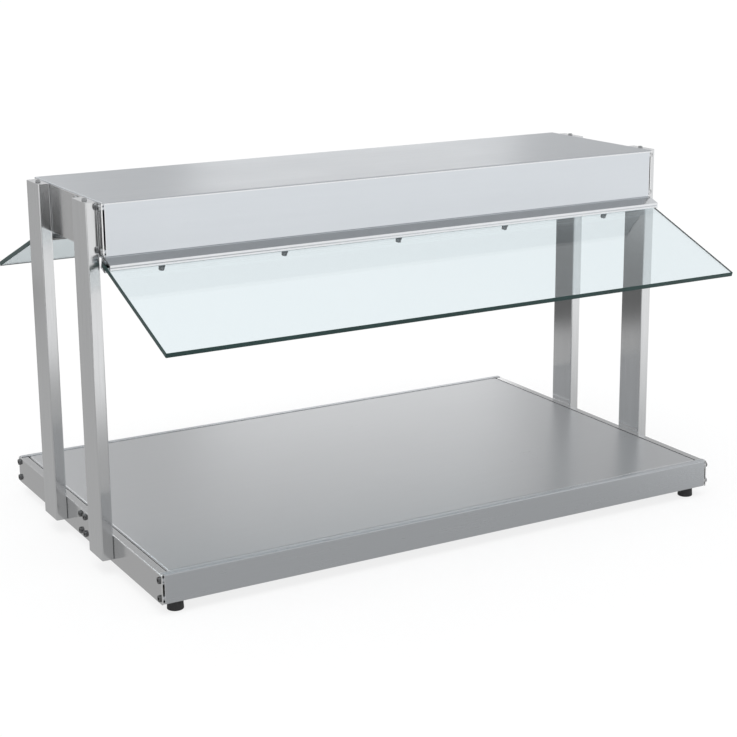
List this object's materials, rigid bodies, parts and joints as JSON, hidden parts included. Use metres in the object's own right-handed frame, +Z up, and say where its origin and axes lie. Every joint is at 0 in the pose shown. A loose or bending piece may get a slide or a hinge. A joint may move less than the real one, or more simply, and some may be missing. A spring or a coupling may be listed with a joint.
{
  "type": "buffet food warmer",
  "caption": "Tabletop buffet warmer: an overhead heat and light housing with sloping glass guards stands on flat posts over a low heated shelf, with rear controls.",
  "frame": {"origin": "on the table, under the middle of the base", "axes": "+X along the width to the guests' right, +Y from the guests' side to the operator's side, +Z up"},
  "size_m": [0.811, 0.5686, 0.4492],
  "materials": {
    "satin_aluminium": "satin anodised, faint brushing along the length",
    "brushed_post": "brushed along the height",
    "brushed_sheet": "fine brushed sheet",
    "shelf_metal": "satin hard anodised, slate grey",
    "reflector_metal": "bright rolled reflector sheet",
    "plated_steel": "dark plated screws",
    "wire_steel": "bright plated wire",
    "element_steel": "oxidised heater sheath",
    "clear_glass": "clear toughened glass with ground edges",
    "lamp_glass": "frosted lamp glass",
    "black_rubber": "matt black rubber",
    "white_ceramic": "unglazed steatite",
    "mineral_wool": "mineral fibre mat",
    "black_plastic": "black moulded plastic",
    "amber_lens": "amber translucent lens"
  },
  "bodies": {
    "stand": {"base_bottom_cover": "brushed_sheet", "base_centre_beam": "satin_aluminium", "base_end_screws": "plated_steel", "base_front_rail": "satin_aluminium", "base_left_end_plate": "brushed_sheet", "base_rear_rail": "satin_aluminium", "base_right_end_plate": "brushed_sheet", "cord_gland": "black_rubber", "element_insulators": "white_ceramic", "foot_fasteners": "plated_steel", "front_guard_gasket": "black_rubber", "front_guard_glass": "clear_glass", "front_guard_rail": "satin_aluminium", "front_left_foot": "black_rubber", "front_left_post": "brushed_post", "front_right_foot": "black_rubber", "front_right_post": "brushed_post", "guard_clamp_screws": "plated_steel", "guard_rail_screws": "plated_steel", "heat_control_body": "black_plastic", "heat_reflector": "reflector_metal", "heating_element": "element_steel", "housing_divider": "satin_aluminium", "housing_end_screws": "plated_steel", "housing_front_panel": "satin_aluminium", "housing_left_end_plate": "brushed_sheet", "housing_rear_panel": "satin_aluminium", "housing_right_end_plate": "brushed_sheet", "housing_top_cover": "brushed_sheet", "lamp_left": "lamp_glass", "lamp_middle": "lamp_glass", "lamp_right": "lamp_glass", "lamp_sockets": "white_ceramic", "lamp_tray": "reflector_metal", "lights_switch_body": "black_plastic", "pilot_lamp": "amber_lens", "post_cap_screws": "plated_steel", "post_caps": "brushed_post", "post_fasteners": "plated_steel", "power_switch_body": "black_plastic", "rear_guard_gasket": "black_rubber", "rear_guard_glass": "clear_glass", "rear_guard_rail": "satin_aluminium", "rear_left_foot": "black_rubber", "rear_left_post": "brushed_post", "rear_right_foot": "black_rubber", "rear_right_post": "brushed_post", "shelf_heaters": "element_steel", "shelf_insulation": "mineral_wool", "shelf_plate": "shelf_metal", "supply_loom": "black_rubber", "terminal_block": "black_plastic", "thermostat_body": "black_plastic", "wire_guard": "wire_steel"},
    "power_rocker": {"power_rocker": "black_plastic"},
    "lights_rocker": {"lights_rocker": "black_plastic"},
    "thermostat_dial": {"thermostat_knob": "black_plastic", "thermostat_shaft": "plated_steel"},
    "heat_control_dial": {"heat_control_knob": "black_plastic", "heat_control_shaft": "plated_steel"}
  },
  "joints": [
    {"name": "power_rocker_tilt", "type": "hinge", "parent": "stand", "child": "power_rocker", "pos_m": [-0.235, 0.249, 0.0275], "axis": [1, 0, 0], "range_deg": [0, 16]},
    {"name": "lights_rocker_tilt", "type": "hinge", "parent": "stand", "child": "lights_rocker", "pos_m": [-0.235, 0.115, 0.4255], "axis": [1, 0, 0], "range_deg": [0, 16]},
    {"name": "thermostat_turn", "type": "hinge", "parent": "stand", "child": "thermostat_dial", "pos_m": [-0.29, 0.248, 0.0275], "axis": [0, -1, 0], "range_deg": [0, 270]},
    {"name": "heat_control_turn", "type": "hinge", "parent": "stand", "child": "heat_control_dial", "pos_m": [-0.29, 0.114, 0.4255], "axis": [0, -1, 0], "range_deg": [0, 270]}
  ]
}
